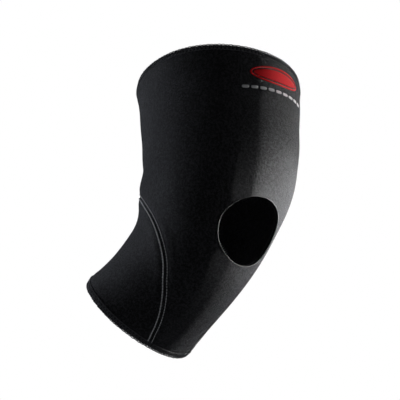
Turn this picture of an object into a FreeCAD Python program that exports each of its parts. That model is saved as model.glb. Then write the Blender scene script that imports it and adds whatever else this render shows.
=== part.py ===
import FreeCAD, Part
import math
import os

# Knee sleeve with an open patella, in its worn, bent shape. Sizes in mm, angles in degrees.
# Frame: the origin is the knee's hinge axis, +Z runs up the thigh, the kneecap faces -Y,
# and X runs across the knee. The calf hangs back from the thigh by REST_FLEXION.

# Overall sizes, along the middle line of the leg and over the outside of the cloth.
THIGH_LENGTH = 138.5
CALF_LENGTH = 110.5
REST_FLEXION = 56.0
BEND_RADIUS = 103.0

# The section at seven places: half width, front depth and back depth from the middle line.
# A place is a share of the calf length below the knee, or of the thigh length above it.
CALF_HEM_SECTION = (62.0, 53.0, 43.5)
CALF_PLACE = 0.68
CALF_SECTION = (55.5, 60.0, 45.5)
SHIN_PLACE = 0.34
SHIN_SECTION = (53.5, 63.0, 58.5)
KNEE_SECTION = (61.0, 65.0, 71.0)
ABOVE_KNEE_PLACE = 0.31
ABOVE_KNEE_SECTION = (69.5, 75.0, 66.5)
THIGH_PLACE = 0.66
THIGH_SECTION = (72.0, 77.0, 72.0)
THIGH_HEM_SECTION = (74.5, 75.5, 81.0)

# The laminate, from the skin outwards.
LINING = 0.4
CORE = 2.2
FACE = 0.4

# How the panels meet.
BUTT_GAP = 0.3
BODY_GAP = 0.4
KNEE_ZONE_HALF = 45.0

# The seam round the calf gusset: the angle from the front of the leg on its inner (-X) and
# outer (+X) side, and the place below the knee as a share of the calf length. The seam meets
# the calf hem nearer the shin on the inner side. The last point is the middle of the back.
INNER_SEAM = (12.5, 25.0, 39.0, 54.5, 77.5, 103.0, 134.0, 180.0)
OUTER_SEAM = (52.0, 59.0, 67.5, 78.5, 94.0, 112.5, 138.0, 180.0)
SEAM_PLACES = (1.0, 0.75, 0.55, 0.40, 0.25, 0.13, 0.02, -0.05)
SEAM_OVERRUN = 5.0

# Stitching: wide cover of thread outside, flat loops inside, and the overlocked hems.
COVER_WIDTH = 6.0
LOOP_WIDTH = 5.0
SEAM_CLEARANCE = 0.5
THREAD = 0.35
LIFT = 0.2
HEM_DEPTH = 5.5
HEM_THREAD = 0.6

# The opening for the kneecap.
OPENING_WIDTH = 65.0
OPENING_HEIGHT = 63.0
OPENING_RISE = 0.5
BEAD_WIDTH = 0.6
BEAD_HEIGHT = 0.4

# The printed mark on the front of the thigh, and the label inside the thigh hem.
PRINT = 0.15
EMBLEM_WIDTH = 58.0
EMBLEM_HEIGHT = 18.0
EMBLEM_BELOW_HEM = 21.0
MARK_ANGLE = -3.0
MARK_RISE = 0.15
DASHES = 9
DASH_LENGTH = 6.4
DASH_HEIGHT = 3.0
DASH_PITCH = 8.3
DASH_BELOW_EMBLEM = 7.0
LABEL_WIDTH = 26.0
LABEL_LENGTH = 18.0
LABEL = 0.2
LABEL_CLEARANCE = 0.3

WALL = LINING + CORE + FACE

# How closely the smooth faces follow the cloth: the space between rings along the leg, and the
# points round half of it, along a seam, along and across a small patch, and round a hem.
RING_SPACING = 10.0
RINGS_ROUND = 18
SEAM_POINTS = 36
PATCH_POINTS = 6
HEM_POINTS = 14
CLOSE = 1e-7
FAR = 400.0

RINGS_ALONG = math.ceil((THIGH_LENGTH + CALF_LENGTH) / RING_SPACING)
X_AXIS = FreeCAD.Vector(1, 0, 0)
ORIGIN = FreeCAD.Vector(0, 0, 0)
BEND = math.radians(REST_FLEXION)
HALF_BEND = BEND / 2
CHORD = FreeCAD.Vector(0, -math.sin(HALF_BEND), math.cos(HALF_BEND))
CALF_UP = FreeCAD.Vector(0, -math.sin(BEND), math.cos(BEND))
TANGENT = BEND_RADIUS * math.tan(HALF_BEND)
HALF_ARC = BEND_RADIUS * HALF_BEND

PLACES = (
    -CALF_LENGTH,
    -CALF_LENGTH * CALF_PLACE,
    -CALF_LENGTH * SHIN_PLACE,
    0.0,
    THIGH_LENGTH * ABOVE_KNEE_PLACE,
    THIGH_LENGTH * THIGH_PLACE,
    THIGH_LENGTH,
)
SECTIONS = (
    CALF_HEM_SECTION,
    CALF_SECTION,
    SHIN_SECTION,
    KNEE_SECTION,
    ABOVE_KNEE_SECTION,
    THIGH_SECTION,
    THIGH_HEM_SECTION,
)


def smooth(x, xs, ys):
    """A smooth line through the points (xs, ys), straight past both ends."""
    last = len(xs) - 1
    steps = [xs[i + 1] - xs[i] for i in range(last)]
    rises = [(ys[i + 1] - ys[i]) / steps[i] for i in range(last)]
    slopes = [rises[0]]
    for i in range(1, last):
        turn = rises[i - 1] * steps[i] + rises[i] * steps[i - 1]
        slopes.append(turn / (steps[i] + steps[i - 1]))
    slopes.append(rises[-1])
    if x <= xs[0]:
        return ys[0] + (x - xs[0]) * slopes[0]
    if x >= xs[last]:
        return ys[last] + (x - xs[last]) * slopes[last]
    k = max(i for i in range(last) if xs[i] <= x)
    u = (x - xs[k]) / steps[k]
    start = (2 * u**3 - 3 * u**2 + 1) * ys[k] + (u**3 - 2 * u**2 + u) * steps[k] * slopes[k]
    finish = (3 * u**2 - 2 * u**3) * ys[k + 1] + (u**3 - u**2) * steps[k] * slopes[k + 1]
    return start + finish


def middle(s):
    """The middle line of the leg at s, and the way the front of the leg faces there."""
    if s > HALF_ARC:
        return FreeCAD.Vector(0, 0, TANGENT + s - HALF_ARC), FreeCAD.Vector(0, -1, 0)
    if s < -HALF_ARC:
        down = TANGENT - s - HALF_ARC
        centre = FreeCAD.Vector(0, down * math.sin(BEND), -down * math.cos(BEND))
        return centre, FreeCAD.Vector(0, -math.cos(BEND), -math.sin(BEND))
    turn = (HALF_ARC - s) / BEND_RADIUS
    back = BEND_RADIUS * (1 - math.cos(turn))
    centre = FreeCAD.Vector(0, back, TANGENT - BEND_RADIUS * math.sin(turn))
    return centre, FreeCAD.Vector(0, -math.cos(turn), -math.sin(turn))


def section(s):
    """Half width, front depth and back depth of the outside of the cloth at s."""
    return [smooth(s, PLACES, [row[i] for row in SECTIONS]) for i in range(3)]


def cloth(s, angle, height):
    """A point of the cloth: place along the leg, degrees from the front, height over the skin."""
    half_width, front, back = [size - WALL + height for size in section(s)]
    centre, facing = middle(s)
    turn = math.radians(angle)
    depth = front if math.cos(turn) > 0 else back
    return centre + facing * (depth * math.cos(turn)) + X_AXIS * (half_width * math.sin(turn))


def on_front(across, along, height):
    """A point of the front of the knee, from its distances across it and up the bend's chord."""
    low = -CALF_LENGTH
    high = THIGH_LENGTH
    while high - low > CLOSE:
        place = (low + high) / 2
        half_width = section(place)[0] - WALL + height
        point = cloth(place, math.degrees(math.asin(across / half_width)), height)
        if point.dot(CHORD) < along:
            low = place
        else:
            high = place
    return point


def seam_place(angle, side):
    """The place along the leg of one side's gusset seam, at an angle from the front of the leg."""
    angles = side + (360 - side[-2],)
    places = SEAM_PLACES + (SEAM_PLACES[-2],)
    return -CALF_LENGTH * smooth(angle, angles, places)


def steps(first, last, count):
    """Evenly spaced values from the first to the last."""
    return [first + (last - first) * i / count for i in range(count + 1)]


def skin(grid):
    """A smooth face through a grid of points."""
    surface = Part.BSplineSurface()
    surface.interpolate(grid)
    return surface.toShape()


def sheet(inner_grid, outer_grid):
    """The solid between two skins whose edges match."""
    inner = skin(inner_grid)
    outer = skin(outer_grid)
    faces = [inner, outer]
    for edge, partner in zip(inner.Edges, outer.Edges):
        faces += Part.makeRuledSurface(edge, partner, 1).Faces
    sewn = Part.makeCompound(faces)
    sewn.sewShape()
    solid = Part.Solid(sewn.Shells[0])
    if solid.Volume < 0:
        solid.reverse()
    return solid


def joined(outer, inner):
    """The outer half and the mirror image of the inner one, joined at the middle."""
    return outer.fuse(inner.mirror(ORIGIN, X_AXIS))


def both(outer, inner):
    """The outer half and the mirror image of the inner one, as separate solids."""
    return Part.makeCompound(outer.Solids + inner.mirror(ORIGIN, X_AXIS).Solids)


def beyond(point, normal):
    """A block that fills everything on the side of the plane that the normal points to."""
    block = Part.makeBox(2 * FAR, 2 * FAR, FAR, FreeCAD.Vector(-FAR, -FAR, 0))
    turn = FreeCAD.Rotation(FreeCAD.Vector(0, 0, 1), normal)
    block.Placement = FreeCAD.Placement(point, turn).multiply(block.Placement)
    return block


def lie(places, angles, height):
    """A grid of points of the cloth at one height over the skin."""
    return [[cloth(s, angle, height) for angle in angles] for s in places]


def half_wall(low, high):
    """The +X half of one layer of the sleeve, from one height over the skin to another."""
    places = steps(-CALF_LENGTH, THIGH_LENGTH, RINGS_ALONG)
    angles = steps(0, 180, RINGS_ROUND)
    return sheet(lie(places, angles, low), lie(places, angles, high))


def patch(low, high, place_range, angle_range, rows=PATCH_POINTS):
    """A small piece of sheet that lies along the cloth."""
    places = steps(place_range[0], place_range[1], rows)
    angles = steps(angle_range[0], angle_range[1], PATCH_POINTS)
    return sheet(lie(places, angles, low), lie(places, angles, high))


def hem_profile(reach):
    """Evenly spaced points round a cut edge: the way back from the edge, and the height."""
    half_round = math.pi * reach
    points = []
    for run in steps(0, 2 * HEM_DEPTH + half_round, HEM_POINTS):
        turn = (run - HEM_DEPTH) / reach
        if run < HEM_DEPTH:
            points.append((HEM_DEPTH - run, reach))
        elif run < HEM_DEPTH + half_round:
            points.append((-reach * math.sin(turn), reach * math.cos(turn)))
        else:
            points.append((run - HEM_DEPTH - half_round, -reach))
    return points


def hem(edge, inwards):
    """A band of thread that wraps a cut edge all round the leg, from the face to the lining."""
    angles = steps(0, 180, RINGS_ROUND)
    skins = []
    for reach in (WALL / 2 + LIFT, WALL / 2 + LIFT + HEM_THREAD):
        grid = []
        for back, height in hem_profile(reach):
            place = edge + inwards * back
            grid.append([cloth(place, angle, WALL / 2 + height) for angle in angles])
        skins.append(grid)
    band = sheet(skins[0], skins[1])
    return joined(band, band)


def back_ribbon(low, high, width, first_place, last_place):
    """A ribbon of thread up the middle of the back."""
    spread = math.degrees(width / 2 / THIGH_SECTION[0])
    return patch(low, high, (first_place, last_place), (180 - spread, 180 + spread), RINGS_ALONG)


def beside_seam(angle, offset, side):
    """The place and angle that lie a distance from the gusset seam, along the cloth; + is down."""
    tiny = 0.01
    seam = seam_place(angle, side)
    here = cloth(seam, angle, WALL)
    ahead = cloth(seam_place(angle + tiny, side), angle + tiny, WALL) - here
    up = (cloth(seam + tiny, angle, WALL) - here) * (1 / tiny)
    round_leg = (cloth(seam, angle + tiny, WALL) - here) * (1 / tiny)
    normal = round_leg.cross(up)
    across = ahead.cross(normal)
    across.normalize()
    across = across * offset
    # Solve across = up * a + round_leg * b within the cloth.
    uu = up.dot(up)
    ur = up.dot(round_leg)
    rr = round_leg.dot(round_leg)
    au = across.dot(up)
    ar = across.dot(round_leg)
    det = uu * rr - ur * ur
    return seam + (au * rr - ar * ur) / det, angle + (ar * uu - au * ur) / det


def along_seam(side, last, heights, offsets):
    """A grid of points beside one side's gusset seam, from below the calf hem to an angle."""
    grid = []
    for angle in steps(side[0] - SEAM_OVERRUN, last, SEAM_POINTS):
        row = []
        for height, offset in zip(heights, offsets):
            place, turn = beside_seam(angle, offset, side)
            row.append(cloth(place, 180 if angle == 180 else turn, height))
        grid.append(row)
    return grid


def seam_ribbon(side, low, high, width):
    """A ribbon of thread along one side's gusset seam, drawn at +X, from the hem to the back."""
    offsets = (-width / 2, 0, width / 2)
    inner_skin = along_seam(side, 180, [low] * len(offsets), offsets)
    outer_skin = along_seam(side, 180, [high] * len(offsets), offsets)
    return sheet(inner_skin, outer_skin)


def seam_cutter(side):
    """A thin sheet of space along one side's gusset seam, drawn at +X, past both faces."""
    heights = steps(-2 * WALL, 3 * WALL, PATCH_POINTS)
    skins = []
    for offset in (-BUTT_GAP / 2, BUTT_GAP / 2):
        offsets = [offset] * len(heights)
        skins.append(along_seam(side, 180 + SEAM_OVERRUN, heights, offsets))
    return sheet(skins[0], skins[1])


def cut_half(wall, side):
    """One half of a layer, drawn at +X, as its five pieces from the thigh to the calf hem."""
    parted = wall.cut(seam_cutter(side)).Solids
    panel = max(parted, key=lambda solid: solid.BoundBox.ZMax).cut(BACK_CUT)
    gusset = min(parted, key=lambda solid: solid.BoundBox.ZMax)
    return {
        "thigh_panel": panel.common(ABOVE_ZONE),
        "knee_panel": panel.common(NOT_ABOVE).common(NOT_BELOW).cut(OPENING),
        "shin_panel": panel.common(BELOW_ZONE),
        "upper_gusset": gusset.common(NOT_BELOW),
        "calf_gusset": gusset.common(BELOW_ZONE),
    }


def write(name, shape):
    solids = shape.Solids
    if not solids or not all(solid.isValid() for solid in solids):
        raise ValueError(name + " is not a valid solid")
    if len(solids) == 1:
        shape = solids[0]
    else:
        shape = Part.makeCompound(solids)
    shape.exportStep("parts/" + name + ".step")
    print(name, len(solids), round(shape.Volume))


os.makedirs("parts", exist_ok=True)

# The panels. The main panel wraps the leg and meets itself at the middle of the back, and the
# gusset fills the back of the calf. The knee zone lies between two planes square to the chord
# of the bend, and the calf starts a small gap below it.
ABOVE_ZONE = beyond(CHORD * KNEE_ZONE_HALF, CHORD)
BELOW_ZONE = beyond(CHORD * -(KNEE_ZONE_HALF + BODY_GAP), -CHORD)
NOT_ABOVE = beyond(CHORD * KNEE_ZONE_HALF, -CHORD)
NOT_BELOW = beyond(CHORD * -KNEE_ZONE_HALF, CHORD)
BACK_CUT = Part.makeBox(BUTT_GAP, FAR, FAR, FreeCAD.Vector(-BUTT_GAP / 2, 0, 0))

opening_facing = FreeCAD.Vector(0, -math.cos(HALF_BEND), -math.sin(HALF_BEND))
opening_edge = Part.Ellipse(ORIGIN, OPENING_WIDTH / 2, OPENING_HEIGHT / 2).toShape()
opening_edge.rotate(ORIGIN, X_AXIS, 90 + REST_FLEXION / 2)
OPENING = Part.Face(Part.Wire(opening_edge)).extrude(opening_facing * FAR)
OPENING.translate(CHORD * OPENING_RISE)

LAYERS = (
    ("lining", 0.0, LINING),
    ("core", LINING, LINING + CORE),
    ("face", LINING + CORE, WALL),
)
for layer, low, high in LAYERS:
    wall = half_wall(low, high)
    outer_pieces = cut_half(wall, OUTER_SEAM)
    inner_pieces = cut_half(wall, INNER_SEAM)
    for piece, outer_half in outer_pieces.items():
        write(piece + "_" + layer, joined(outer_half, inner_pieces[piece]))

# The overlocked hems wrap the cut edges, clear of the cloth by a hair.
write("thigh_hem_overlock", hem(THIGH_LENGTH, -1))
write("calf_hem_overlock", hem(-CALF_LENGTH, 1))

# The flat seams. Outside, the needle threads and their cover lie over each butt joint, and
# inside, the loops lie under it. The seams stop short of the hems and of each other.
ABOVE_CALF_HEM = beyond(middle(-CALF_LENGTH)[0] + CALF_UP * (HEM_DEPTH + LIFT), CALF_UP)
SEAM_THREADS = (
    ("cover", WALL + LIFT, WALL + LIFT + THREAD, COVER_WIDTH),
    ("loops", -LIFT - THREAD, -LIFT, LOOP_WIDTH),
)
apex = beside_seam(180, -COVER_WIDTH / 2 - SEAM_CLEARANCE, INNER_SEAM)[0]
for thread, low, high, width in SEAM_THREADS:
    back_seam = back_ribbon(low, high, width, apex, THIGH_LENGTH - HEM_DEPTH - LIFT)
    write("thigh_back_seam_" + thread, back_seam.common(ABOVE_ZONE))
    write("knee_back_seam_" + thread, back_seam.common(NOT_ABOVE))
    outer_seam = seam_ribbon(OUTER_SEAM, low, high, width)
    inner_seam = seam_ribbon(INNER_SEAM, low, high, width)
    knee_seam = joined(outer_seam.common(NOT_BELOW), inner_seam.common(NOT_BELOW))
    write("knee_gusset_seam_" + thread, knee_seam)
    calf_zone = BELOW_ZONE.common(ABOVE_CALF_HEM)
    calf_seam = both(outer_seam.common(calf_zone), inner_seam.common(calf_zone))
    write("calf_gusset_seam_" + thread, calf_seam)

# The fine bead that seals the lip of the kneecap opening.
bead = []
bead_heights = [WALL + LIFT + rise for rise in (0, BEAD_HEIGHT / 2, BEAD_HEIGHT)]
for reach in (LIFT, LIFT + BEAD_WIDTH):
    rows = []
    for turn in steps(0, 180, SEAM_POINTS):
        across = (OPENING_WIDTH / 2 + reach) * math.sin(math.radians(turn))
        along = (OPENING_HEIGHT / 2 + reach) * math.cos(math.radians(turn)) + OPENING_RISE
        rows.append([on_front(across, along, height) for height in bead_heights])
    bead.append(rows)
half_bead = sheet(bead[0], bead[1])
write("opening_edge_bead", joined(half_bead, half_bead))

# The printed mark: a plain oval, and a row of dashes below it that follows the same rise.
mark_low = WALL + LIFT
mark_place = THIGH_LENGTH - EMBLEM_BELOW_HEM
mark_centre = cloth(mark_place, MARK_ANGLE, WALL)
oval = Part.Ellipse(ORIGIN, EMBLEM_WIDTH / 2, EMBLEM_HEIGHT / 2).toShape()
oval.rotate(ORIGIN, FreeCAD.Vector(0, 0, 1), math.degrees(math.atan(MARK_RISE)))
oval.rotate(ORIGIN, X_AXIS, 90)
oval_block = Part.Face(Part.Wire(oval)).extrude(FreeCAD.Vector(0, -2 * THIGH_SECTION[1], 0))
oval_block.translate(FreeCAD.Vector(mark_centre.x, 0, mark_centre.z))
mark_turn = math.degrees(EMBLEM_WIDTH / THIGH_SECTION[0])
print_sheet = patch(
    mark_low,
    mark_low + PRINT,
    (mark_place - EMBLEM_HEIGHT, mark_place + EMBLEM_HEIGHT),
    (MARK_ANGLE - mark_turn, MARK_ANGLE + mark_turn),
)
write("printed_emblem", print_sheet.common(oval_block))
dashes = []
for i in range(DASHES):
    shift = (i - (DASHES - 1) / 2) * DASH_PITCH
    place = mark_place - EMBLEM_HEIGHT / 2 - DASH_BELOW_EMBLEM + shift * MARK_RISE
    angle = MARK_ANGLE + math.degrees(shift / THIGH_SECTION[0])
    half_turn = math.degrees(DASH_LENGTH / 2 / THIGH_SECTION[0])
    place_range = (place - DASH_HEIGHT / 2, place + DASH_HEIGHT / 2)
    angle_range = (angle - half_turn, angle + half_turn)
    dashes.append(patch(mark_low, mark_low + PRINT, place_range, angle_range))
write("printed_dashes", Part.makeCompound(dashes))

# The blank care label, sewn into the thigh hem beside the back seam, against the lining.
label_turn = math.degrees(LABEL_WIDTH / THIGH_SECTION[0])
label_start = 180 + math.degrees(COVER_WIDTH / THIGH_SECTION[0])
label_top = THIGH_LENGTH - HEM_DEPTH - LIFT
care_label = patch(
    -LABEL_CLEARANCE - LABEL,
    -LABEL_CLEARANCE,
    (label_top - LABEL_LENGTH, label_top),
    (label_start, label_start + label_turn),
)
write("care_label", care_label)
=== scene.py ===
import math

import bpy
import numpy as np
from mathutils import Matrix, Vector, geometry


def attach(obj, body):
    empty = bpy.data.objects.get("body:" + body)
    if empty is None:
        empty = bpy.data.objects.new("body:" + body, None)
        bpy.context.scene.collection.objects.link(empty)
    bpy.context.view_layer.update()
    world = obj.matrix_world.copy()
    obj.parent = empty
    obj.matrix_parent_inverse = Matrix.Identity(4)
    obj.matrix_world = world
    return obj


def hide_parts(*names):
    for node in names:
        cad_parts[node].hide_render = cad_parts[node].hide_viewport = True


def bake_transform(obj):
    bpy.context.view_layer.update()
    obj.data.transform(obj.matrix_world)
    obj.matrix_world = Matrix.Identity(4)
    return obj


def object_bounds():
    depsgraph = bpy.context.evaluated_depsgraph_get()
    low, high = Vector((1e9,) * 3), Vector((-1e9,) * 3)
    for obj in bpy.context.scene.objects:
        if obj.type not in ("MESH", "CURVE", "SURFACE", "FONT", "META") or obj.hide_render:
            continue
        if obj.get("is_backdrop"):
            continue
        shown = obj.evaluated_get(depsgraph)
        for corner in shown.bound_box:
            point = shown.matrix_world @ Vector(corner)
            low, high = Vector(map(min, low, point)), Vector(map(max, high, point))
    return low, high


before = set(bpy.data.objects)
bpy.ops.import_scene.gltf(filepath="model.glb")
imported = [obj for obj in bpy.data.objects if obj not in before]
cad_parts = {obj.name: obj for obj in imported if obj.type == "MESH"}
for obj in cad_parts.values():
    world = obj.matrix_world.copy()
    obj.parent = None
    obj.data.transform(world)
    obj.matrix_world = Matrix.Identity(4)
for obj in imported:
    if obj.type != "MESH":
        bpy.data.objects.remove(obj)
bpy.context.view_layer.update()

THIGH, CALF = "thigh_section", "calf_section"

# ---------------------------------------------------------------------------------------------
# The main panel. One cut piece of 3 mm laminate wraps the leg: knitted nylon jersey outside,
# closed-cell foam in the middle, jersey lining inside, bonded flat. It meets itself up the
# middle of the back, narrows to a tongue down the shin, and has a round hole for the kneecap.
# ---------------------------------------------------------------------------------------------

# The worn shape, in metres and degrees, as the CAD has it. A section is its half width, front
# depth and back depth from the middle line of the leg.
THIGH_LENGTH, CALF_LENGTH = 0.1385, 0.1105
BEND, BEND_RADIUS = math.radians(56), 0.103
PLACES = np.array([-1, -0.68, -0.34, 0, 0.31, 0.66, 1])
PLACES = np.where(PLACES < 0, PLACES * CALF_LENGTH, PLACES * THIGH_LENGTH)
HALF_WIDTHS = (0.0620, 0.0555, 0.0535, 0.0610, 0.0695, 0.0720, 0.0745)
FRONT_DEPTHS = (0.0530, 0.0600, 0.0630, 0.0650, 0.0750, 0.0770, 0.0755)
BACK_DEPTHS = (0.0435, 0.0455, 0.0585, 0.0710, 0.0665, 0.0720, 0.0810)
INNER_SEAM = (12.5, 25.0, 39.0, 54.5, 77.5, 103.0, 134.0, 180.0)
OUTER_SEAM = (52.0, 59.0, 67.5, 78.5, 94.0, 112.5, 138.0, 180.0)
SEAM_PLACES = (1.0, 0.75, 0.55, 0.40, 0.25, 0.13, 0.02, -0.05)
LINING_TOP, CORE_TOP, WALL = 0.0004, 0.0026, 0.0030
TANGENT = BEND_RADIUS * math.tan(BEND / 2)
HALF_ARC = BEND_RADIUS * BEND / 2
CHORD = np.array([0, -math.sin(BEND / 2), math.cos(BEND / 2)])
MM = 0.001
HEM_DEPTH = 5.5 * MM
# The overlock takes this share of the wall's thickness away at the edge, and less further in.
EDGE_SQUEEZE, SQUEEZE_WIDTH = 0.5, 2.6 * MM


def smooth(x, xs, ys):
    """A smooth line through the points (xs, ys), straight past both ends."""
    xs, ys = np.asarray(xs, float), np.asarray(ys, float)
    steps = np.diff(xs)
    rises = np.diff(ys) / steps
    slopes = np.empty(len(xs))
    slopes[0], slopes[-1] = rises[0], rises[-1]
    slopes[1:-1] = (rises[:-1] * steps[1:] + rises[1:] * steps[:-1]) / (steps[1:] + steps[:-1])
    x = np.asarray(x, float)
    k = np.clip(np.searchsorted(xs, x, side="right") - 1, 0, len(xs) - 2)
    u = np.clip((x - xs[k]) / steps[k], 0, 1)
    start = (2 * u**3 - 3 * u**2 + 1) * ys[k] + (u**3 - 2 * u**2 + u) * steps[k] * slopes[k]
    finish = (3 * u**2 - 2 * u**3) * ys[k + 1] + (u**3 - u**2) * steps[k] * slopes[k + 1]
    past = np.minimum(x - xs[0], 0) * slopes[0] + np.maximum(x - xs[-1], 0) * slopes[-1]
    return start + finish + past


def middle(s):
    """The middle line of the leg at s, and the way the front of the leg faces there."""
    turn = np.clip((HALF_ARC - s) / BEND_RADIUS, 0, BEND)
    above, below = np.maximum(s - HALF_ARC, 0), np.maximum(-s - HALF_ARC, 0)
    facing = np.stack([0 * s, -np.cos(turn), -np.sin(turn)], -1)
    y = BEND_RADIUS * (1 - np.cos(turn)) + below * math.sin(BEND)
    z = TANGENT - BEND_RADIUS * np.sin(turn) + above - below * math.cos(BEND)
    return np.stack([0 * s, y, z], -1), facing


def plain(s, angle, height):
    """A point of the cloth with no relief: place along the leg, degrees from the front, height."""
    s, angle, height = np.broadcast_arrays(*(np.asarray(v, float) for v in (s, angle, height)))
    turn = np.radians(angle)
    rise = height - WALL
    depths = np.where(np.cos(turn) > 0, smooth(s, PLACES, FRONT_DEPTHS), smooth(s, PLACES, BACK_DEPTHS))
    centre, facing = middle(s)
    out = centre + facing * ((depths + rise) * np.cos(turn))[..., None]
    out[..., 0] += (smooth(s, PLACES, HALF_WIDTHS) + rise) * np.sin(turn)
    return out


def seam_place(angle):
    """The place along the leg of the gusset seam, at an angle from the front of the leg."""
    angles = OUTER_SEAM + tuple(360 - a for a in INNER_SEAM[-2::-1])
    return -CALF_LENGTH * smooth(angle, angles, SEAM_PLACES + SEAM_PLACES[-2::-1])


def beside_seam(angle, offset):
    """Where on the cloth lies a distance to one side of the gusset seam; + is towards the gusset."""
    tiny = 0.01
    s = seam_place(angle)
    here = plain(s, angle, WALL)
    ahead = plain(seam_place(angle + tiny), angle + tiny, WALL) - here
    up = (plain(s + tiny * MM, angle, WALL) - here) / (tiny * MM)
    round_leg = (plain(s, angle + tiny, WALL) - here) / tiny
    across = np.cross(ahead, np.cross(round_leg, up))
    across *= offset / np.linalg.norm(across, axis=-1, keepdims=True)
    uu, ur, rr = (up * up).sum(-1), (up * round_leg).sum(-1), (round_leg**2).sum(-1)
    au, ar = (across * up).sum(-1), (across * round_leg).sum(-1)
    det = uu * rr - ur * ur
    return s + (au * rr - ar * ur) / det, angle + (ar * uu - au * ur) / det


# The kneecap opening: an ellipse square to the front of the knee.
OPENING_WIDTH, OPENING_HEIGHT, OPENING_RISE = 0.065, 0.063, 0.0005


def on_front(across, along):
    """The place and angle of the front of the knee, a distance across and up the bend's chord."""
    low, high = np.full(np.shape(across), -CALF_LENGTH), np.full(np.shape(across), THIGH_LENGTH)
    for _ in range(40):
        place = (low + high) / 2
        angle = np.degrees(np.arcsin(across / smooth(place, PLACES, HALF_WIDTHS)))
        under = plain(place, angle, WALL) @ CHORD < along
        low, high = np.where(under, place, low), np.where(under, high, place)
    return place, angle


def opening_edge(reach, count):
    """Evenly turned points round the kneecap opening, a reach outside its edge."""
    turn = np.linspace(0, 2 * np.pi, count, endpoint=False)
    across = (OPENING_WIDTH / 2 + reach) * np.sin(turn)
    return on_front(across, (OPENING_HEIGHT / 2 + reach) * np.cos(turn) + OPENING_RISE)


SEAM_TURNS = np.linspace(OUTER_SEAM[0], 360 - INNER_SEAM[0], 500)
SEAM_LINE = plain(seam_place(SEAM_TURNS), SEAM_TURNS, WALL)
APEX = float(seam_place(180))
BACK_LINE = plain(np.linspace(APEX, THIGH_LENGTH, 120), 180, WALL)
LIP_LINE = plain(*opening_edge(0, 120), WALL)


def gap_to(points, line):
    """How far each point is from a line of points."""
    flat = points.reshape(-1, points.shape[-1])
    parts = [np.linalg.norm(part[:, None] - line[None], axis=-1).min(1) for part in np.array_split(flat, 40)]
    return np.concatenate(parts).reshape(points.shape[:-1])


def bell(x, width):
    return np.exp(-((x / width) ** 2))


# How deep the worn cloth is pulled in or eased up, and how wide each dip or swell is.
SEAM_DIP, SEAM_DIP_WIDTH = 0.75 * MM, 2.2 * MM
SEAM_SWELL, SEAM_SWELL_AWAY = 0.45 * MM, 7 * MM
HEM_DIP, HEM_SWELL, HEM_SWELL_AWAY = 0.5 * MM, 0.5 * MM, 9 * MM
EDGE_WIDTH = 4 * MM
LIP_SWELL, LIP_WIDTH = 0.5 * MM, 6 * MM
LONG_WAVE, SHORT_WAVE = 0.25 * MM, 0.12 * MM
CREASE, CREASE_SPACING, CREASE_REACH, CREASE_TURN = 1.5 * MM, 0.041, 46 * MM, 46


def relief(s, angle):
    """How far the worn cloth stands off its plain shape: pulled in along seams and hems, eased up
    beside them, creased in the hollow of the knee and never quite even."""
    s, angle = np.broadcast_arrays(np.asarray(s, float), np.asarray(angle, float))
    where = plain(s, angle, WALL)
    behind = (angle % 360) - 180
    seam = np.minimum(gap_to(where, SEAM_LINE), gap_to(where, BACK_LINE))
    edge = np.minimum(THIGH_LENGTH - s, CALF_LENGTH + s)
    lip = gap_to(where, LIP_LINE)
    rise = SEAM_SWELL * bell(seam - SEAM_SWELL_AWAY, EDGE_WIDTH) - SEAM_DIP * bell(seam, SEAM_DIP_WIDTH)
    rise += HEM_SWELL * bell(edge - HEM_SWELL_AWAY, EDGE_WIDTH) - HEM_DIP * bell(edge, EDGE_WIDTH)
    rise += LIP_SWELL * bell(lip, LIP_WIDTH)
    wave = np.sin(s * 96 + angle * 0.031) * np.sin(s * 37 - angle * 0.052 + 1.3)
    rise += LONG_WAVE * wave + SHORT_WAVE * np.sin(s * 151 - angle * 0.087 + 0.6)
    hollow = bell(behind, CREASE_TURN) * bell(s - 8 * MM, CREASE_REACH)
    folds = np.cos(s * 2 * np.pi / CREASE_SPACING + behind * behind * 0.0009 + 0.9)
    return rise + CREASE * hollow * folds


def cloth(s, angle, height):
    """A point of the worn cloth. The overlock squeezes the wall thin at both cut edges."""
    edge = np.minimum(THIGH_LENGTH - s, CALF_LENGTH + s)
    squeeze = 1 - EDGE_SQUEEZE * bell(np.maximum(edge, 0), SQUEEZE_WIDTH)
    return plain(s, angle, WALL / 2 + (height - WALL / 2) * squeeze + relief(s, angle))


ROUND = 0.00120  # metres of cloth to a degree of turn, in the flat cut


def along(points, spacing):
    """The same line of flat points, evenly spaced."""
    points = np.asarray(points, float)
    runs = np.concatenate([[0], np.cumsum(np.linalg.norm(np.diff(points, axis=0), axis=1))])
    even = np.linspace(0, runs[-1], max(2, round(runs[-1] / spacing) + 1))
    return np.stack([np.interp(even, runs, points[:, i]) for i in (0, 1)], -1)


def inside(points, loop):
    """Which flat points a closed loop holds."""
    x, y = points[:, :1], points[:, 1:]
    ax, ay = loop[:, 0], loop[:, 1]
    bx, by = np.roll(ax, -1), np.roll(ay, -1)
    crossed = (ay > y) != (by > y)
    where = ax + (y - ay) * (bx - ax) / np.where(by == ay, 1e-12, by - ay)
    return (crossed & (x < where)).sum(1) % 2 == 1


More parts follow.
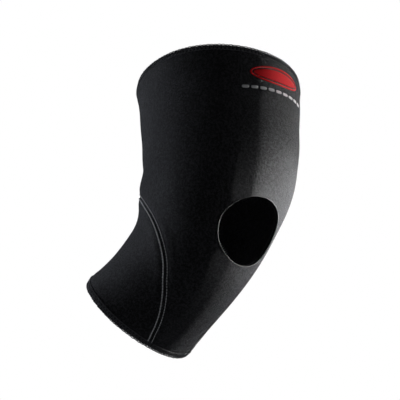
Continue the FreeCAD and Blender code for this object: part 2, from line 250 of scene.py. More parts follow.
def cut_piece(loops, spacing):
    """Cuts a flat piece from the laminate. The first loop is its outline and the rest are holes.
    Returns its points, its triangles and, for each loop, the points along its edge."""
    low, high = loops[0].min(0), loops[0].max(0)
    rows = np.arange(low[1], high[1], spacing * 0.866)
    fill = []
    for i, y in enumerate(rows):
        xs = np.arange(low[0] + (i % 2) * spacing / 2, high[0], spacing)
        fill.append(np.stack([xs, 0 * xs + y], -1))
    fill = np.concatenate(fill)
    keep = inside(fill, loops[0])
    for hole in loops[1:]:
        keep &= ~inside(fill, hole)
    fill = fill[keep]
    border = np.concatenate(loops)
    fill = fill[gap_to(fill, border) > 0.62 * spacing]
    points, edges, first = list(map(Vector, border)) + list(map(Vector, fill)), [], 0
    for loop in loops:
        count = len(loop)
        edges += [(first + i, first + (i + 1) % count) for i in range(count)]
        first += count
    made, _, faces, origins, _, _ = geometry.delaunay_2d_cdt(points, edges, [], 2, 1e-7)
    flat = np.array([tuple(p) for p in made])
    faces = np.array(faces)
    centres = flat[faces].mean(1)
    within = inside(centres, loops[0])
    for hole in loops[1:]:
        within &= ~inside(centres, hole)
    faces = faces[within]
    a, b, c = (flat[faces[:, i]] for i in range(3))
    turned = np.cross(b - a, c - a) < 0
    faces[turned] = faces[turned][:, ::-1]
    found = {origin: i for i, group in enumerate(origins) for origin in group}
    edges_out, first = [], 0
    for k, loop in enumerate(loops):
        ring = np.array([found[first + i] for i in range(len(loop))])
        first += len(loop)
        x, y = loop[:, 0], loop[:, 1]
        counter = (x * np.roll(y, -1) - np.roll(x, -1) * y).sum() > 0
        edges_out.append(ring if counter == (k == 0) else ring[::-1])
    return flat, faces, edges_out


def make_mesh(name, points, faces, smooth_faces=True):
    mesh = bpy.data.meshes.new(name)
    mesh.from_pydata([tuple(p) for p in points], [], [tuple(f) for f in faces])
    mesh.update()
    mesh.polygons.foreach_set("use_smooth", [smooth_faces] * len(mesh.polygons))
    piece = bpy.data.objects.new(name, mesh)
    bpy.context.scene.collection.objects.link(piece)
    return piece


def ply(name, cut, low, high):
    """One bonded layer of a cut piece, laid on the leg from one height over the skin to another."""
    flat, faces, edges = cut
    count = len(flat)
    s, angle = flat[:, 1], flat[:, 0] / ROUND
    points = np.concatenate([cloth(s, angle, high), cloth(s, angle, low)])
    quads = []
    for ring in edges:
        after = np.roll(ring, -1)
        quads += list(np.stack([ring + count, after + count, after, ring], -1))
    piece = make_mesh(name, points, list(faces) + list(faces[:, ::-1] + count) + quads)
    mesh = piece.data
    lying = mesh.uv_layers.new(name="cloth")
    corners = np.zeros(len(mesh.loops), int)
    mesh.loops.foreach_get("vertex_index", corners)
    across = np.where(corners[:, None] < count, 0.0, high - low)
    where = np.concatenate([flat, flat])[corners] + across
    lying.data.foreach_set("uv", where.astype(np.float32).ravel())
    rims = {frozenset(pair) for ring in edges for pair in zip(ring.tolist(), np.roll(ring, -1).tolist())}
    rims |= {frozenset(i + count for i in pair) for pair in rims}
    sharp = [frozenset(edge.vertices) in rims for edge in mesh.edges]
    mesh.attributes.new("sharp_edge", "BOOLEAN", "EDGE").data.foreach_set("value", sharp)
    return piece


class Shade:
    """A value that varies over a surface. A sum of shades adds the nodes that work it out."""

    def __init__(self, finish, socket):
        self.finish, self.socket = finish, socket

    def _sum(self, operation, first, second=None):
        sockets = {0: first} if second is None else {0: first, 1: second}
        return self.finish.node("ShaderNodeMath", {"operation": operation}, sockets)

    def __add__(self, other):
        return self._sum("ADD", self, other)

    def __radd__(self, other):
        return self._sum("ADD", other, self)

    def __sub__(self, other):
        return self._sum("SUBTRACT", self, other)

    def __rsub__(self, other):
        return self._sum("SUBTRACT", other, self)

    def __mul__(self, other):
        return self._sum("MULTIPLY", self, other)

    def __rmul__(self, other):
        return self._sum("MULTIPLY", other, self)

    def __truediv__(self, other):
        return self._sum("DIVIDE", self, other)

    def __abs__(self):
        return self._sum("ABSOLUTE", self)

    def sine(self):
        return self._sum("SINE", self)

    def part(self):
        return self._sum("FRACT", self)

    def over(self, floor):
        return self._sum("MAXIMUM", self, floor)


class Finish:
    """A material, made node by node."""

    def __init__(self, name):
        self.material = bpy.data.materials.new(name)
        self.material.use_nodes = True
        self.tree = self.material.node_tree
        self.tree.nodes.clear()

    def node(self, kind, settings=None, sockets=None, out=0):
        """Adds a node. Its settings are made first, then its sockets get values or links."""
        made = self.tree.nodes.new(kind)
        for key, value in (settings or {}).items():
            setattr(made, key, value)
        for key, value in (sockets or {}).items():
            if isinstance(value, Shade):
                self.tree.links.new(value.socket, made.inputs[key])
            else:
                made.inputs[key].default_value = value
        return Shade(self, made.outputs[out]) if made.outputs else None

    def lying(self):
        """The two ways across the cloth, in metres."""
        flat = self.node("ShaderNodeUVMap", {"uv_map": "cloth"})
        return self.node("ShaderNodeSeparateXYZ", {}, {0: flat}, 0), self.node(
            "ShaderNodeSeparateXYZ", {}, {0: flat}, 1)

    def place(self):
        return self.node("ShaderNodeTexCoord", {}, {}, "Object")

    def noise(self, scale, detail=3.0, rough=0.55):
        return self.node("ShaderNodeTexNoise", {}, {"Vector": self.place(), "Scale": scale,
                                                    "Detail": detail, "Roughness": rough})

    def blend(self, share, first, second):
        return self.node("ShaderNodeMix", {"data_type": "RGBA"}, {0: share, 6: first, 7: second}, 2)

    def bump(self, height, distance, strength=1.0):
        return self.node("ShaderNodeBump", {}, {"Height": height, "Distance": distance,
                                                "Strength": strength})

    def finish(self, **sockets):
        named = {name.replace("_", " "): value for name, value in sockets.items()}
        body = self.node("ShaderNodeBsdfPrincipled", {}, named)
        self.node("ShaderNodeOutputMaterial", {}, {"Surface": body})
        return self.material


def colour(red, green, blue):
    return (red, green, blue, 1.0)


def jersey(name, dark, light, wale, sheen):
    """Knitted nylon jersey: columns of small loops along the leg, a grain of lint and stretch."""
    finish = Finish(name)
    across, up = finish.lying()
    column = (across / wale).part() - 0.5
    loops = (up / (wale * 0.8) + abs(column) * 1.1) * (2 * math.pi)
    knit = (1 - abs(column) * 2) * 0.6 + (loops.sine() * 0.5 + 0.5) * 0.7
    lint = finish.noise(1150.0, 2.0, 0.6)
    grain = finish.noise(480.0, 2.0, 0.6)
    cloud = finish.noise(28.0, 3.0, 0.5)
    height = knit * 0.6 + lint * 1.2 + grain * 1.2
    share = 0.34 + (lint - 0.5) * 3.0 + (grain - 0.5) * 3.2 + (cloud - 0.5) * 0.6 + (knit - 0.5) * 0.2
    return finish.finish(
        Base_Color=finish.blend(share, dark, light),
        Roughness=0.52 + grain * 0.25,
        Normal=finish.bump(height, 0.00035, 0.9),
        Specular_IOR_Level=0.20,
        Sheen_Weight=sheen,
        Sheen_Roughness=0.35,
        Sheen_Tint=colour(0.86, 0.88, 1.0),
    )


def foam(name):
    """The cut edge of closed-cell foam: soft black, with fine cells."""
    finish = Finish(name)
    cells = finish.node("ShaderNodeTexVoronoi", {}, {"Vector": finish.place(), "Scale": 2600.0}, 0)
    tone = finish.noise(420.0, 3.0)
    return finish.finish(
        Base_Color=finish.blend(tone, colour(0.004, 0.004, 0.004), colour(0.014, 0.014, 0.015)),
        Roughness=0.78 + cells * 0.15,
        Normal=finish.bump(cells, 0.00018, 0.7),
        Specular_IOR_Level=0.18,
    )


outer_jersey = jersey("black_jersey_face", colour(0.0045, 0.0045, 0.0050), colour(0.0500, 0.0500, 0.0540),
                      0.00058, 0.08)
# The lining is the same black jersey as the face but painted lighter: a painted fill light, so the inside
# shows through the kneecap opening instead of going black.
lining_jersey = jersey("black_jersey_lining_painted_fill", colour(0.0200, 0.0200, 0.0215), colour(0.0850, 0.0850, 0.0920),
                       0.00075, 0.06)
foam_edge = foam("neoprene_foam_edge")

CLOTH_STEP = 0.0023
BUTT = 0.00012


def bends(piece):
    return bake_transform(piece)


def seam_edge(offset, first, last):
    """The edge of a cut piece along the gusset seam, in the flat cut."""
    s, angle = beside_seam(np.linspace(first, last, 400), offset)
    return np.stack([angle * ROUND, np.maximum(s, -CALF_LENGTH)], -1)


right_seam = seam_edge(-BUTT, OUTER_SEAM[0], 180)
left_seam = seam_edge(-BUTT, 180, 360 - INNER_SEAM[0]) - (360 * ROUND, 0)
top_right = (180 * ROUND - BUTT, THIGH_LENGTH)
right_seam[-1, 0] = top_right[0]
left_seam[0, 0] = -top_right[0]
panel_outline = np.concatenate([
    along([left_seam[-1], right_seam[0]], CLOTH_STEP)[:-1],
    along(right_seam, CLOTH_STEP)[:-1],
    along([right_seam[-1], top_right], CLOTH_STEP)[:-1],
    along([top_right, (-top_right[0], THIGH_LENGTH)], CLOTH_STEP)[:-1],
    along([(-top_right[0], THIGH_LENGTH), left_seam[0]], CLOTH_STEP)[:-1],
    along(left_seam, CLOTH_STEP)[:-1],
])
hole_s, hole_angle = opening_edge(0, 96)
opening_cut = np.stack([hole_angle * ROUND, hole_s], -1)
main_cut = cut_piece([panel_outline, opening_cut], CLOTH_STEP)

PLIES = (
    ("face", CORE_TOP, WALL, outer_jersey, "black_jersey"),
    ("core", LINING_TOP, CORE_TOP, foam_edge, "neoprene_foam"),
    ("lining", 0.0, LINING_TOP, lining_jersey, "lining_jersey"),
)
for layer, low, high, material, slot in PLIES:
    panel = ply("main_panel_" + layer, main_cut, low, high)
    panel.data.materials.append(material)
    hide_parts("thigh_panel_" + layer, "knee_panel_" + layer, "shin_panel_" + layer)
    bends(panel)

# ---------------------------------------------------------------------------------------------
# The calf gusset. A second cut piece of the same laminate fills the back of the calf and rises
# in an arch to the hollow of the knee, where it lets the sleeve bend without bunching.
# ---------------------------------------------------------------------------------------------

arch = seam_edge(BUTT, OUTER_SEAM[0], 360 - INNER_SEAM[0])
gusset_outline = np.concatenate([
    along([arch[0], arch[-1]], CLOTH_STEP)[:-1],
    along(arch[::-1], CLOTH_STEP)[:-1],
])
gusset_cut = cut_piece([gusset_outline], CLOTH_STEP)
for layer, low, high, material, slot in PLIES:
    gusset = ply("calf_gusset_piece_" + layer, gusset_cut, low, high)
    gusset.data.materials.append(material)
    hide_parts("upper_gusset_" + layer, "calf_gusset_" + layer)
    bends(gusset)

# ---------------------------------------------------------------------------------------------
# The flat seams. Two rows of light grey needle thread run each side of the butt joint and catch
# both panels; inside, a dark loop thread zigzags from row to row. One seam goes round the gusset
# from hem to hem over the hollow of the knee, and one up the middle of the back.
# ---------------------------------------------------------------------------------------------


def tube(path, radius, sides=6, flatten=1.0, closed=False):
    """Points and faces of a round thread along a path, with closed ends."""
    path = np.asarray(path, float)
    if closed:
        ahead = np.roll(path, -1, 0) - np.roll(path, 1, 0)
    else:
        ahead = np.gradient(path, axis=0)
    ahead /= np.linalg.norm(ahead, axis=1, keepdims=True)
    side = np.cross(ahead, (0, 0, 1.0))
    short = np.linalg.norm(side, axis=1) < 1e-6
    side[short] = np.cross(ahead[short], (0, 1.0, 0))
    side /= np.linalg.norm(side, axis=1, keepdims=True)
    up = np.cross(side, ahead)
    turns = np.linspace(0, 2 * np.pi, sides, endpoint=False)
    radii = np.broadcast_to(radius, len(path))
    points, faces, count = [], [], len(path)
    for i in range(count):
        for turn in turns:
            points.append(path[i] + radii[i] * (side[i] * np.cos(turn) + up[i] * np.sin(turn) * flatten))
    for i in range(count if closed else count - 1):
        for k in range(sides):
            a, b = i * sides + k, i * sides + (k + 1) % sides
            c, d = (i + 1) % count * sides + (k + 1) % sides, (i + 1) % count * sides + k
            faces.append((a, d, c, b))
    if not closed:
        faces.append(tuple(range(sides)))
        faces.append(tuple((count - 1) * sides + k for k in range(sides - 1, -1, -1)))
    return points, faces


def thread_shape(name, tubes):
    """One stitch, made of one or more lengths of thread."""
    points, faces = [], []
    for some_points, some_faces in tubes:
        faces += [tuple(i + len(points) for i in face) for face in some_faces]
        points += some_points
    return make_mesh(name, points, faces)


def stitching_tree():
    """Geometry nodes that set stitches along a line on the cloth, all facing out of it."""
    tree = bpy.data.node_groups.new("stitches_along_a_line", "GeometryNodeTree")
    for name, kind in (("Line", "NodeSocketGeometry"), ("Stitch", "NodeSocketObject"),
                       ("Stitches", "NodeSocketInt"), ("Unevenness", "NodeSocketFloat"),
                       ("Thread", "NodeSocketMaterial")):
        tree.interface.new_socket(name, in_out="INPUT", socket_type=kind)
    tree.interface.new_socket("Geometry", in_out="OUTPUT", socket_type="NodeSocketGeometry")

    def add(kind, settings=None, sockets=None):
        made = tree.nodes.new(kind)
        for key, value in (settings or {}).items():
            setattr(made, key, value)
        for key, value in (sockets or {}).items():
            if isinstance(value, bpy.types.NodeSocket):
                tree.links.new(value, made.inputs[key])
            else:
                made.inputs[key].default_value = value
        return made

    given = add("NodeGroupInput").outputs
    line = add("GeometryNodeMeshToCurve", {}, {"Mesh": given["Line"]}).outputs[0]
    spaced = add("GeometryNodeResampleCurve", {"mode": "COUNT"},
                 {"Curve": line, "Count": given["Stitches"]}).outputs[0]
    out = add("GeometryNodeInputNamedAttribute", {"data_type": "FLOAT_VECTOR"}, {"Name": "out"}).outputs[0]
    ahead = add("GeometryNodeInputTangent").outputs[0]
    turn = add("FunctionNodeAxesToRotation", {"primary_axis": "Z", "secondary_axis": "X"},
               {"Primary Axis": out, "Secondary Axis": ahead}).outputs[0]
    least = add("ShaderNodeMath", {"operation": "SUBTRACT"}, {0: 1.0, 1: given["Unevenness"]}).outputs[0]
    most = add("ShaderNodeMath", {"operation": "ADD"}, {0: 1.0, 1: given["Unevenness"]}).outputs[0]
    size = add("FunctionNodeRandomValue", {"data_type": "FLOAT"}, {2: least, 3: most, "Seed": 7}).outputs[1]
    stitch = add("GeometryNodeObjectInfo", {"transform_space": "ORIGINAL"},
                 {"Object": given["Stitch"]}).outputs["Geometry"]
    placed = add("GeometryNodeInstanceOnPoints", {},
                 {"Points": spaced, "Instance": stitch, "Rotation": turn, "Scale": size}).outputs[0]
    real = add("GeometryNodeRealizeInstances", {}, {0: placed}).outputs[0]
    dyed = add("GeometryNodeSetMaterial", {}, {"Geometry": real, "Material": given["Thread"]}).outputs[0]
    add("NodeGroupOutput", {}, {"Geometry": dyed})
    return tree


STITCHING = stitching_tree()


def stitch_line(name, s, angle, height, stitch, pitch, material, closed=False, unevenness=0.05):
    """Sews stitches along a line on the cloth and returns them as one plain mesh."""
    points = cloth(s, angle, height)
    out = cloth(s, angle, height + MM) - points
    out /= np.linalg.norm(out, axis=1, keepdims=True)
    ends = np.roll(points, -1, 0) if closed else points[1:]
    length = np.linalg.norm(ends - points[:len(ends)], axis=1).sum()
    mesh = bpy.data.meshes.new(name)
    edges = [(i, i + 1) for i in range(len(points) - 1)] + ([(len(points) - 1, 0)] if closed else [])
    mesh.from_pydata([tuple(p) for p in points], edges, [])
    facing_out = mesh.attributes.new("out", "FLOAT_VECTOR", "POINT")
    facing_out.data.foreach_set("vector", out.astype(np.float32).ravel())
    line = bpy.data.objects.new(name, mesh)
    bpy.context.scene.collection.objects.link(line)
    sewing = line.modifiers.new("sewing", "NODES")
    sewing.node_group = STITCHING
    named = {item.name: item.identifier for item in STITCHING.interface.items_tree}
    sewing[named["Stitch"]] = stitch
    sewing[named["Stitches"]] = max(2, round(length / pitch))
    sewing[named["Unevenness"]] = unevenness
    sewing[named["Thread"]] = material
    graph = bpy.context.evaluated_depsgraph_get()
    sewn = bpy.data.meshes.new_from_object(line.evaluated_get(graph), depsgraph=graph)
    line.modifiers.remove(sewing)
    line.data = sewn
    sewn.name = name
    sewn.polygons.foreach_set("use_smooth", [True] * len(sewn.polygons))
    if not sewn.materials:
        sewn.materials.append(material)
    return line


def joined(name, pieces):
    """Several rows of one seam as one piece."""
    points, faces, material = [], [], pieces[0].data.materials[0]
    for piece in pieces:
        first = len(points)
        points += [tuple(v.co) for v in piece.data.vertices]
        faces += [tuple(i + first for i in face.vertices) for face in piece.data.polygons]
        bpy.data.objects.remove(piece)
    whole = make_mesh(name, points, faces)
    whole.data.materials.append(material)
    return whole


def thread(name, dark, light, sheen):
    """Spun polyester thread: fine twist, a little fuzz, slightly lighter on the crowns."""
    finish = Finish(name)
    twist = finish.node("ShaderNodeTexWave", {"bands_direction": "DIAGONAL"},
                        {"Vector": finish.place(), "Scale": 900.0, "Distortion": 2.0, "Detail": 1.0}, 1)
    tone = finish.noise(700.0, 3.0)
    share = (tone * 0.8 + twist * 0.3 - 0.1).over(0.0)
    return finish.finish(
        Base_Color=finish.blend(share, dark, light),
        Roughness=0.62 + tone * 0.2,
        Normal=finish.bump(twist * 0.6 + tone, 0.00012, 0.6),
        Specular_IOR_Level=0.3,
        Sheen_Weight=sheen,
        Sheen_Roughness=0.45,
    )


def run_stitch(name, length, radius, flatten):
    """A needle stitch: up through the cloth, along it, and down again."""
    share = np.array([-0.5, -0.44, -0.25, 0, 0.25, 0.44, 0.5])
    height = radius * np.array([-1.5, 0.1, 0.75, 0.9, 0.75, 0.1, -1.5])
    path = np.stack([share * length, 0 * share, height], -1)
    swell = radius * np.array([0.7, 0.9, 1.05, 1.1, 1.05, 0.9, 0.7])
    return thread_shape(name, [tube(path, swell, 6, flatten)])


def loop_stitch(name, length, half_width, radius):
    """One zigzag of the loop thread, from row to row and back."""
    share = np.linspace(0, 1, 9)
    path = np.stack([(share - 0.5) * length, half_width * np.cos(share * 2 * np.pi), 0 * share + radius], -1)
    return thread_shape(name, [tube(path, radius, 5, 0.8)])


grey_thread = thread("light_grey_thread", colour(0.07, 0.07, 0.068), colour(0.26, 0.26, 0.25), 0.10)
black_thread = thread("black_loop_thread", colour(0.010, 0.010, 0.011), colour(0.035, 0.035, 0.038), 0.15)
ROW_OFFSET = 0.0019
STITCH_PITCH = 0.0026
LOOP_PITCH, LOOP_LENGTH, LOOP_RADIUS = 0.0025, 0.0026, 0.00026
LOOP_HEIGHT = -2 * LOOP_RADIUS
wide_stitch = run_stitch("wide_needle_stitch", 0.0023, 0.00055, 0.62)
fine_stitch = run_stitch("fine_needle_stitch", 0.0022, 0.00034, 0.75)
zigzag = loop_stitch("loop_stitch", LOOP_LENGTH, ROW_OFFSET, LOOP_RADIUS)


def seam_row(name, offset, height, stitch, pitch, material):
    """A row of stitches beside the gusset seam, from hem to hem."""
    turns = np.linspace(OUTER_SEAM[0] - 1, 360 - INNER_SEAM[0] + 2, 700)
    s, angle = beside_seam(turns, offset)
    sewn = s > HEM_DEPTH - CALF_LENGTH
    return stitch_line(name, s[sewn], angle[sewn], height, stitch, pitch, material)


gusset_rows = [
    seam_row("gusset_row", ROW_OFFSET, WALL, wide_stitch, STITCH_PITCH, grey_thread),
    seam_row("panel_row", -ROW_OFFSET, WALL, fine_stitch, STITCH_PITCH, grey_thread),
]
gusset_seam = joined("gusset_seam_stitches", gusset_rows)
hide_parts("knee_gusset_seam_cover", "calf_gusset_seam_cover")
bends(gusset_seam)
gusset_loops = joined("gusset_seam_loops", [
    seam_row("gusset_loop", 0.0, LOOP_HEIGHT, zigzag, LOOP_PITCH, black_thread)])
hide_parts("knee_gusset_seam_loops", "calf_gusset_seam_loops")
bends(gusset_loops)

# The back seam starts this far clear of the gusset seam.
BACK_SEAM_GAP = 0.0040
BACK_START = float(beside_seam(180, -BACK_SEAM_GAP)[0])


def back_row(name, offset, height, stitch, pitch, material):
    """A row of stitches up the middle of the back, from the arch of the gusset to the thigh hem."""
    s = np.linspace(BACK_START, THIGH_LENGTH - HEM_DEPTH, 200)
    angle = 180 + np.degrees(offset / smooth(s, PLACES, HALF_WIDTHS))
    return stitch_line(name, s, angle, height, stitch, pitch, material)


back_seam = joined("back_seam_stitches", [
    back_row("left_row", -ROW_OFFSET, WALL, fine_stitch, STITCH_PITCH, grey_thread),
    back_row("right_row", ROW_OFFSET, WALL, fine_stitch, STITCH_PITCH, grey_thread)])
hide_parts("thigh_back_seam_cover", "knee_back_seam_cover")
bends(back_seam)
back_loops = joined("back_seam_loops", [
    back_row("loops", 0.0, LOOP_HEIGHT, zigzag, LOOP_PITCH, black_thread)])
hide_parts("thigh_back_seam_loops", "knee_back_seam_loops")
bends(back_loops)

# ---------------------------------------------------------------------------------------------
# The hems. An overlock machine binds each cut edge: a needle line runs 5 mm in, and pairs of
# loop threads fan out from it to the edge, round it, and back to the line inside.
# ---------------------------------------------------------------------------------------------

HEM_THREAD = 0.00042
HEM_PITCH = 0.0035


def hem_loop(name, pitch):
    """One overlock loop: two legs that spread from the needle line and wrap the edge."""
    r = HEM_THREAD
    legs = []
    for way in (-1, 1):
        face, skin = [(0.06 * way * pitch, 0.0002, -r)], []
        for share in (0.12, 0.4, 0.65, 0.85, 0.97):
            sunk = EDGE_SQUEEZE * WALL / 2 * bell((1 - share) * HEM_DEPTH, SQUEEZE_WIDTH)
            x, y = (0.06 + 0.38 * share) * way * pitch, HEM_DEPTH * share
            face.append((x, y, r * 0.8 - sunk))
            skin.append((x, y, sunk - WALL - r * 0.8))
        rim = [(0.44 * way * pitch, HEM_DEPTH + r * 0.9, z * WALL) for z in (-0.36, -0.5, -0.64)]
        legs.append(tube(face + rim + skin[::-1], r, 6, 0.85))
    needle = [(-0.5 * pitch, 0, -0.4 * r), (-0.35 * pitch, 0, r * 0.8), (0, 0, r * 1.3),
              (0.35 * pitch, 0, r * 0.8), (0.5 * pitch, 0, -0.4 * r)]
    legs.append(tube(needle, r * 1.15, 6, 0.8))
    sunk = EDGE_SQUEEZE * WALL / 2
    chain = [(-0.55 * pitch, HEM_DEPTH - r, r * 0.4 - sunk), (-0.2 * pitch, HEM_DEPTH + 0.3 * r, r - sunk),
             (0.2 * pitch, HEM_DEPTH + 0.3 * r, r - sunk), (0.55 * pitch, HEM_DEPTH - r, r * 0.4 - sunk)]
    legs.append(tube(chain, r * 1.05, 6, 0.9))
    return thread_shape(name, legs)


hem_thread = thread("dark_grey_hem_thread", colour(0.030, 0.030, 0.034), colour(0.150, 0.150, 0.160), 0.25)
hem_stitch = hem_loop("hem_loop", HEM_PITCH)
for name, body, edge, inwards, node in (
    ("thigh_hem_stitches", THIGH, THIGH_LENGTH, -1, "thigh_hem_overlock"),
    ("calf_hem_stitches", CALF, -CALF_LENGTH, 1, "calf_hem_overlock"),
):
    # The loops reach towards the edge, so the line is followed the way that puts it on their side.
    turns = np.linspace(0, 360, 480, endpoint=False) * -inwards
    band = stitch_line(name, 0 * turns + edge + inwards * HEM_DEPTH, turns, WALL, hem_stitch, HEM_PITCH,
                       hem_thread, closed=True, unevenness=0.03)
    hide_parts(node)
    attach(band, body)

# ---------------------------------------------------------------------------------------------
# The kneecap opening is cut clean through the three plies, and a fine pale bead runs round its
# outer lip; its pale grey is partly the lip's own colour and partly a painted highlight on the rim's edge.
# ---------------------------------------------------------------------------------------------


# The bead's pale grey is partly a painted highlight: it stands in for the light line that the lit rim's edge
# catches.
def pale_bead_and_highlight(name):
    finish = Finish(name)
    tone = finish.noise(160.0, 3.0)
    return finish.finish(
        Base_Color=finish.blend(tone, colour(0.07, 0.07, 0.068), colour(0.22, 0.22, 0.21)),
        Roughness=0.42 + tone * 0.2,
        Normal=finish.bump(tone, 0.0001, 0.4),
        Specular_IOR_Level=0.4,
    )


BEAD_RADIUS = 0.00022
lip_path = cloth(*opening_edge(0.0001, 240), WALL + 0.2 * BEAD_RADIUS)
bead = make_mesh("opening_bead", *tube(lip_path, BEAD_RADIUS, 8, 1.0, closed=True))
bead.data.materials.append(pale_bead_and_highlight("pale_bead_painted_highlight"))
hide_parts("opening_edge_bead")
bends(bead)

# ---------------------------------------------------------------------------------------------
# The printed mark: a plain red oval with a fine ring round it, and a row of short white dashes
# below. Both are thin film pressed on to the jersey with heat.
# ---------------------------------------------------------------------------------------------

MARK_PLACE, MARK_ANGLE, MARK_RISE = THIGH_LENGTH - 0.021, -3.0, 0.15
EMBLEM_WIDTH, EMBLEM_HEIGHT = 0.058, 0.018
FILM_LOW, FILM_HIGH = WALL + 0.00005, WALL + 0.00020


def film(name, tone, worn):
    """Heat-transfer film: flat colour over the knit, a little shine, a trace of wear."""
    finish = Finish(name)
    grain = finish.noise(500.0, 3.0)
    return finish.finish(
        Base_Color=finish.blend((grain * 1.2 - 0.35).over(0.0), tone, worn),
        Roughness=0.52 + grain * 0.25,
        Normal=finish.bump(grain, 0.00010, 0.5),
        Specular_IOR_Level=0.15,
    )


def on_thigh(across, up):
    """Flat cut points of the mark, from distances across and up from its middle."""
    return np.stack([MARK_ANGLE * ROUND + across, MARK_PLACE + up + across * MARK_RISE], -1)


def oval(width, height, count):
    turn = np.linspace(0, 2 * np.pi, count, endpoint=False)
    return on_thigh(width / 2 * np.cos(turn), height / 2 * np.sin(turn))


def printed(name, cuts, material, node):
    pieces = [ply(name + "_part", cut, FILM_LOW, FILM_HIGH) for cut in cuts]
    for piece in pieces:
        piece.data.materials.append(material)
    if len(pieces) == 1:
        whole = pieces[0]
        whole.name = name
    else:
        whole = joined(name, pieces)
    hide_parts(node)
    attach(whole, THIGH)


RING, DASHES = 0.0018, 9
ring_cut = cut_piece([oval(EMBLEM_WIDTH, EMBLEM_HEIGHT, 96),
                      oval(EMBLEM_WIDTH - 2 * RING, EMBLEM_HEIGHT - 2 * RING, 96)[::-1]], 0.0012)
oval_cut = cut_piece([oval(EMBLEM_WIDTH - 3.6 * RING, EMBLEM_HEIGHT - 3.6 * RING, 80)], 0.0016)
red_film = film("red_film", colour(0.80, 0.008, 0.014), colour(0.62, 0.010, 0.014))
printed("red_oval", [ring_cut, oval_cut], red_film, "printed_emblem")
DASH_PITCH, DASH_LENGTH, DASH_HEIGHT, DASH_BELOW = 0.0083, 0.0064, 0.0030, 0.0070
dash_cuts = []
for i in range(DASHES):
    middle_x, middle_y = (i - (DASHES - 1) / 2) * DASH_PITCH, -EMBLEM_HEIGHT / 2 - DASH_BELOW
    turn = np.linspace(0, 2 * np.pi, 24, endpoint=False)
    corner_x = np.sign(np.cos(turn)) * np.abs(np.cos(turn)) ** 0.5 * DASH_LENGTH / 2
    corner_y = np.sign(np.sin(turn)) * np.abs(np.sin(turn)) ** 0.5 * DASH_HEIGHT / 2
    dash_cuts.append(cut_piece([on_thigh(middle_x + corner_x, middle_y + corner_y)], 0.0010))
white_film = film("white_film", colour(0.72, 0.72, 0.72), colour(0.50, 0.50, 0.50))
printed("white_dashes", dash_cuts, white_film, "printed_dashes")

# ---------------------------------------------------------------------------------------------
# The care label: a blank strip of woven satin, sewn flat to the lining inside the thigh hem.
# ---------------------------------------------------------------------------------------------

LABEL_WIDTH, LABEL_LENGTH = 0.026, 0.018
LABEL_ASIDE, THIGH_RADIUS = 0.006, 0.072
label_start = (180 + math.degrees(LABEL_ASIDE / THIGH_RADIUS)) * ROUND
label_top = THIGH_LENGTH - HEM_DEPTH
label_end, label_bottom = label_start + LABEL_WIDTH, label_top - LABEL_LENGTH
label_loop = along([(label_start, label_bottom), (label_end, label_bottom), (label_end, label_top),
                    (label_start, label_top), (label_start, label_bottom)], 0.0015)[:-1]
label = ply("care_label_blank", cut_piece([label_loop], 0.0015), -0.0003, -0.0001)


def satin(name):
    finish = Finish(name)
    across, up = finish.lying()
    weave = ((across * 9000.0).sine() * (up * 5200.0).sine()) * 0.5 + 0.5
    return finish.finish(
        Base_Color=finish.blend(weave, colour(0.50, 0.50, 0.48), colour(0.66, 0.66, 0.64)),
        Roughness=0.35 + weave * 0.15,
        Normal=finish.bump(weave, 0.00008, 0.5),
    )


label.data.materials.append(satin("white_satin"))
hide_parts("care_label")
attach(label, THIGH)

for shape in (wide_stitch, fine_stitch, zigzag, hem_stitch):
    bpy.data.objects.remove(shape)

# ---------------------------------------------------------------------------------------------
# The studio: a pale floor, a white surround, soft lamps and the camera.
# ---------------------------------------------------------------------------------------------

FLOOR_DROP, FLOOR_SIZE = 1.05, 14.0
corners = [(x * FLOOR_SIZE, y * FLOOR_SIZE, -FLOOR_DROP) for x, y in ((-1, -1), (1, -1), (1, 1), (-1, 1))]
floor = make_mesh("studio_floor", corners, [(0, 1, 2, 3)], False)
# The floor and the surround look pale to the camera, but throw hardly any light on the sleeve.
floor_finish = Finish("pale_floor")
floor_tone = floor_finish.noise(1.5, 2.0)
floor_in_view = floor_finish.node("ShaderNodeLightPath", {}, {}, 0)
floor.data.materials.append(floor_finish.finish(
    Base_Color=floor_finish.blend(floor_tone, colour(0.78, 0.78, 0.78), colour(0.84, 0.84, 0.84)),
    Roughness=0.8 + floor_tone * 0.1,
    Emission_Color=floor_finish.blend(floor_in_view, colour(0, 0, 0), colour(0.62, 0.62, 0.63)),
    Emission_Strength=1.0))
floor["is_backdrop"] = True

world = bpy.data.worlds.new("white_surround")
bpy.context.scene.world = world
world.use_nodes = True
sky = world.node_tree
sky.nodes.clear()
seen, lit = sky.nodes.new("ShaderNodeBackground"), sky.nodes.new("ShaderNodeBackground")
seen.inputs[0].default_value, seen.inputs[1].default_value = (1, 1, 1, 1), 1.0
lit.inputs[0].default_value, lit.inputs[1].default_value = (0.92, 0.95, 1.0, 1), 0.05
ray, choice = sky.nodes.new("ShaderNodeLightPath"), sky.nodes.new("ShaderNodeMixShader")
sky.links.new(ray.outputs["Is Camera Ray"], choice.inputs[0])
sky.links.new(lit.outputs[0], choice.inputs[1])
sky.links.new(seen.outputs[0], choice.inputs[2])
sky.links.new(choice.outputs[0], sky.nodes.new("ShaderNodeOutputWorld").inputs[0])
bpy.context.scene.view_settings.view_transform = "Standard"

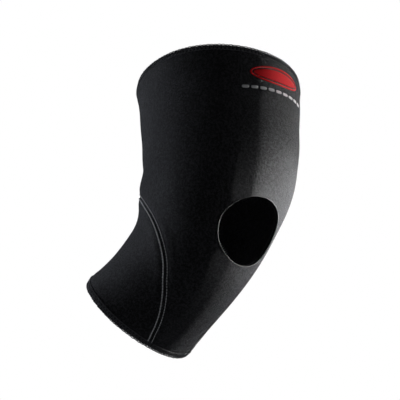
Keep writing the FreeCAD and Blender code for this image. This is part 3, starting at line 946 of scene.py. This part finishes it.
AZIMUTH, ELEVATION, ROLL = math.radians(-46), math.radians(-28), math.radians(2)
DISTANCE, LENS = 1.526, 152.6
SIDE_SHIFT, RISE_SHIFT = -0.0142, 0.0209
toward = Vector((math.sin(AZIMUTH) * math.cos(ELEVATION), -math.cos(AZIMUTH) * math.cos(ELEVATION),
                 math.sin(ELEVATION)))
level = (-toward).cross(Vector((0, 0, 1))).normalized()
upright = level.cross(-toward)
right = level * math.cos(ROLL) + upright * math.sin(ROLL)
up = upright * math.cos(ROLL) - level * math.sin(ROLL)
camera = bpy.data.objects.new("camera", bpy.data.cameras.new("camera"))
camera.data.lens, camera.data.sensor_width = LENS, 36.0
camera.data.clip_start, camera.data.clip_end = 0.05, 60.0
turned = Matrix((right, up, toward)).transposed().to_4x4()
camera.matrix_world = Matrix.Translation(toward * DISTANCE + right * SIDE_SHIFT + up * RISE_SHIFT) @ turned
bpy.context.scene.collection.objects.link(camera)
bpy.context.scene.camera = camera


SPOT_CONE = math.radians(6.6)


def lamp(name, kind, place, aim, size, power, tint):
    """A soft lamp. Its place and aim are distances right, up and towards the camera."""
    light = bpy.data.objects.new(name, bpy.data.lights.new(name, kind))
    light.data.energy, light.data.color = power, tint
    if kind == "AREA":
        light.data.size = size
    else:
        light.data.shadow_soft_size = size
        light.data.spot_size, light.data.spot_blend = SPOT_CONE, 1.0
    place, aim = (right * p[0] + up * p[1] + toward * p[2] for p in (place, aim))
    light.location = place
    light.rotation_mode = "QUATERNION"
    light.rotation_quaternion = (place - aim).to_track_quat("Z", "Y")
    bpy.context.scene.collection.objects.link(light)


lamp("right_spot", "SPOT", (1.0, -0.05, -0.50), (0.075, 0.0, 0.0), 0.30, 2000.0, (1.0, 1.0, 1.0))
lamp("knee_spot", "SPOT", (1.0, -0.02, -0.40), (0.084, 0.004, 0.0), 0.04, 130.0, (1.0, 1.0, 1.0))
lamp("kneecap_spot", "SPOT", (1.0, -0.04, -0.12), (0.080, -0.004, 0.0), 0.05, 110.0, (1.0, 1.0, 1.0))
lamp("right_softbox", "AREA", (0.50, 0.05, -0.05), (0.07, 0.0, 0.0), 0.30, 0.6, (1.0, 1.0, 1.0))
lamp("left_softbox", "AREA", (-1.1, 0.2, -0.48), (0, 0, 0), 0.7, 6.5, (0.86, 0.90, 1.0))
lamp("front_fill", "AREA", (0.2, 0.9, 1.3), (0, 0, 0), 1.0, 0.25, (1.0, 1.0, 1.0))

low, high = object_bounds()
